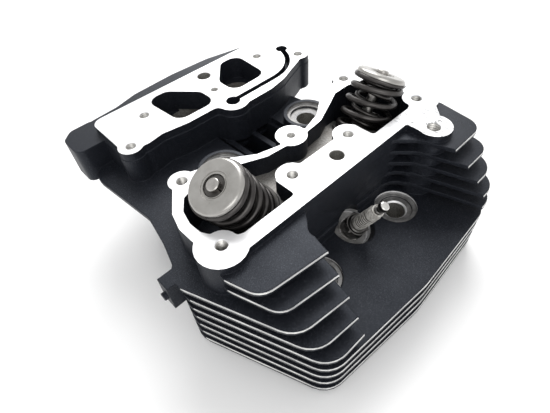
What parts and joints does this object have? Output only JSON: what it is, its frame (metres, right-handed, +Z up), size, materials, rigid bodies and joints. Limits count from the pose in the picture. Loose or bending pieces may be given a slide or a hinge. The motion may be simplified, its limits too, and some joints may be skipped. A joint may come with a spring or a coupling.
{
  "type": "engine cylinder head",
  "caption": "Air-cooled two-valve cylinder head with fins, a pushrod block, sprung valves that open into a domed chamber, and a spark plug.",
  "frame": {"origin": "where the axis of the cylinder's bore meets the gasket face", "axes": "+Z up from the gasket face to the rocker faces, +X towards the exhaust valve, +Y towards the pushrod side, -Y towards the spark plug side"},
  "size_m": [0.2355, 0.2528, 0.1201],
  "materials": {
    "casting_coat": "semi-matte black powder coat on cast aluminium, with bare machined faces and fin edges",
    "machined_aluminium": "milled bright",
    "seat_steel": "ground",
    "guide_bronze": "turned",
    "valve_steel": "ground",
    "retainer_steel": "satin",
    "keeper_steel": "dark satin",
    "spring_steel": "shot-peened dark grey",
    "seal_rubber": "matte",
    "plug_steel": "plated, dark",
    "plug_ceramic": "glazed off-white ceramic",
    "plug_terminal": "bright"
  },
  "bodies": {
    "head": {"head_casting": "casting_coat", "intake_seat": "seat_steel", "exhaust_seat": "seat_steel", "intake_guide": "guide_bronze", "exhaust_guide": "guide_bronze", "intake_spring_outer": "spring_steel", "intake_spring_inner": "spring_steel", "exhaust_spring_outer": "spring_steel", "exhaust_spring_inner": "spring_steel", "intake_spring_base": "retainer_steel", "exhaust_spring_base": "retainer_steel", "intake_stem_seal": "seal_rubber", "exhaust_stem_seal": "seal_rubber", "plug_shell": "plug_steel", "plug_insulator": "plug_ceramic", "plug_terminal": "plug_terminal", "plug_electrode": "plug_steel", "plug_ground_strap": "plug_steel", "plug_washer": "plug_terminal"},
    "intake_valve": {"intake_valve": "valve_steel", "intake_retainer": "retainer_steel", "intake_keepers": "keeper_steel"},
    "exhaust_valve": {"exhaust_valve": "valve_steel", "exhaust_retainer": "retainer_steel", "exhaust_keepers": "keeper_steel"}
  },
  "joints": [
    {"name": "intake_lift", "type": "slide", "parent": "head", "child": "intake_valve", "axis": [0.4695, 0, -0.8829], "range_m": [0, 0.011], "stiffness_N_per_m": 24000, "springref_m": -0.004, "deforming": ["intake_spring_outer", "intake_spring_inner"]},
    {"name": "exhaust_lift", "type": "slide", "parent": "head", "child": "exhaust_valve", "axis": [-0.4695, 0, -0.8829], "range_m": [0, 0.011], "stiffness_N_per_m": 24000, "springref_m": -0.004, "deforming": ["exhaust_spring_outer", "exhaust_spring_inner"]}
  ]
}
